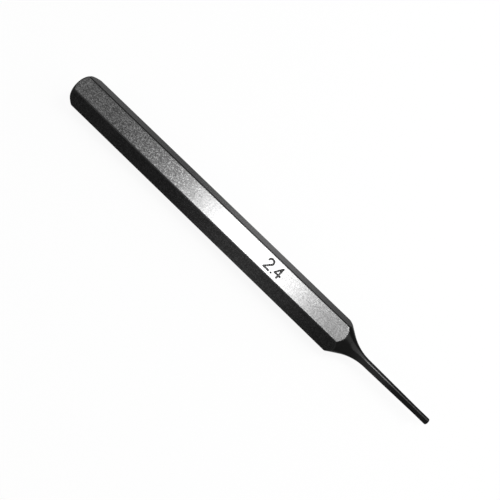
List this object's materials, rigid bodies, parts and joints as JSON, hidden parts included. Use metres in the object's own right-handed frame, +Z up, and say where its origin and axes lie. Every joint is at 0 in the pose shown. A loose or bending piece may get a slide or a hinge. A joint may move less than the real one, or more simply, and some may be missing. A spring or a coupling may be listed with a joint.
{
  "type": "pin punch",
  "caption": "Hand punch of hexagonal steel bar with a chamfered striking face, a turned shoulder, a hollow neck and a slender straight pin for driving out pins.",
  "frame": {"origin": "on the surface that the punch lies on, under the middle of its overall length", "axes": "+X along the bar from the striking face towards the tip, +Z up out of the flat that faces up when it lies on the opposite flat, +Y across the corners"},
  "size_m": [0.127, 0.0108, 0.0095],
  "materials": {
    "blasted_steel": "alloy tool steel, bead blasted and black oxided, satin with a fine grain",
    "turned_steel": "alloy tool steel, turned and black oxided, satin with fine turning marks"
  },
  "bodies": {
    "root": {"striking_head": "blasted_steel", "hex_shank": "blasted_steel", "turned_shoulder": "turned_steel", "radius_neck": "turned_steel", "drive_pin": "turned_steel", "pin_tip": "turned_steel"}
  },
  "joints": []
}
